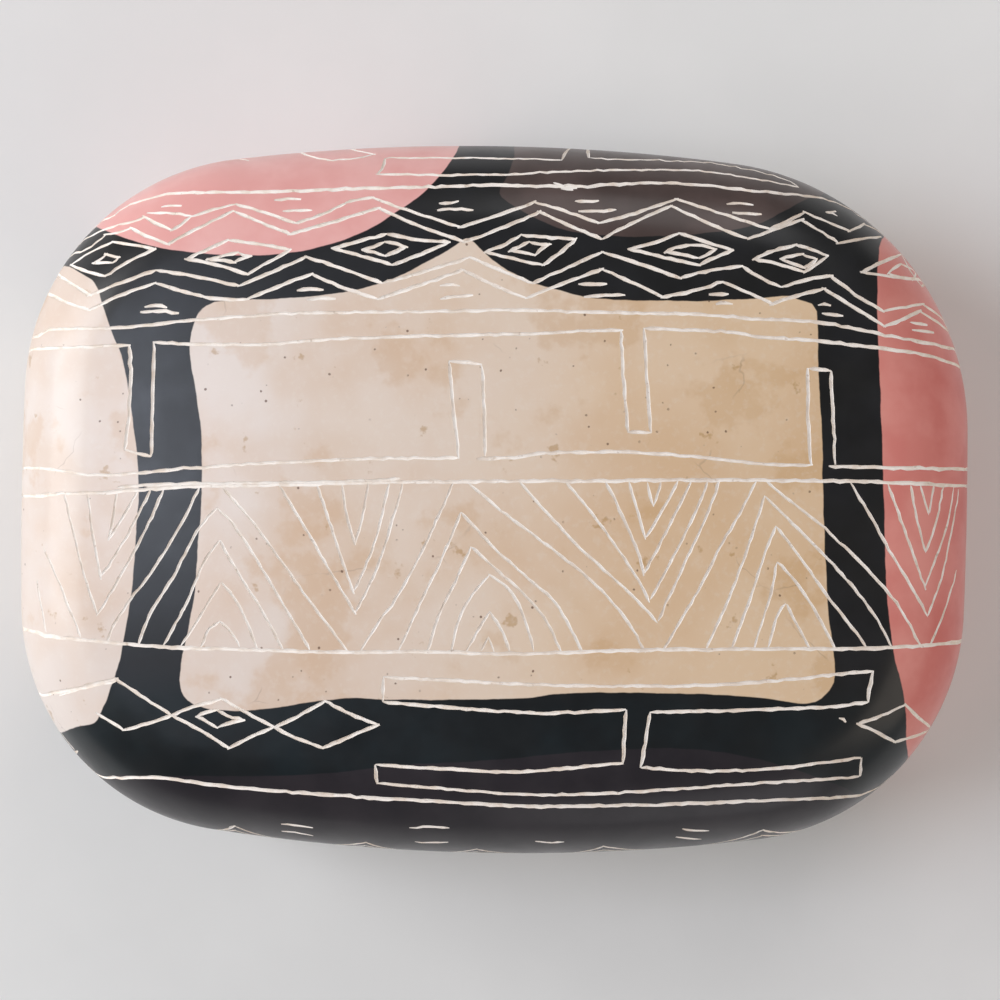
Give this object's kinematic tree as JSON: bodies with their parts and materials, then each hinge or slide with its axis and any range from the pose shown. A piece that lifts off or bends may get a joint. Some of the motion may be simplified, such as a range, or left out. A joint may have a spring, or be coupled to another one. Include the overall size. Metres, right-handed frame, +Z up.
{
  "type": "trinket box",
  "caption": "Small pillow-shaped carved stone box with a hollowed base and a domed lift-off lid, incised with bands of zigzags, diamonds, frets and chevrons.",
  "frame": {"origin": "on the table, under the middle of the box", "axes": "+X along the long side, +Y towards the back, +Z up through the lid"},
  "size_m": [0.108, 0.081, 0.0495],
  "materials": {
    "dyed_soapstone": "hand polished and waxed, dyed in patches"
  },
  "bodies": {
    "base": {"base": "dyed_soapstone"},
    "lid": {"lid": "dyed_soapstone"}
  },
  "joints": [
    {"name": "lid_lift", "type": "slide", "parent": "base", "child": "lid", "axis": [0, 0, 1], "range_m": [0, 0.06]}
  ]
}
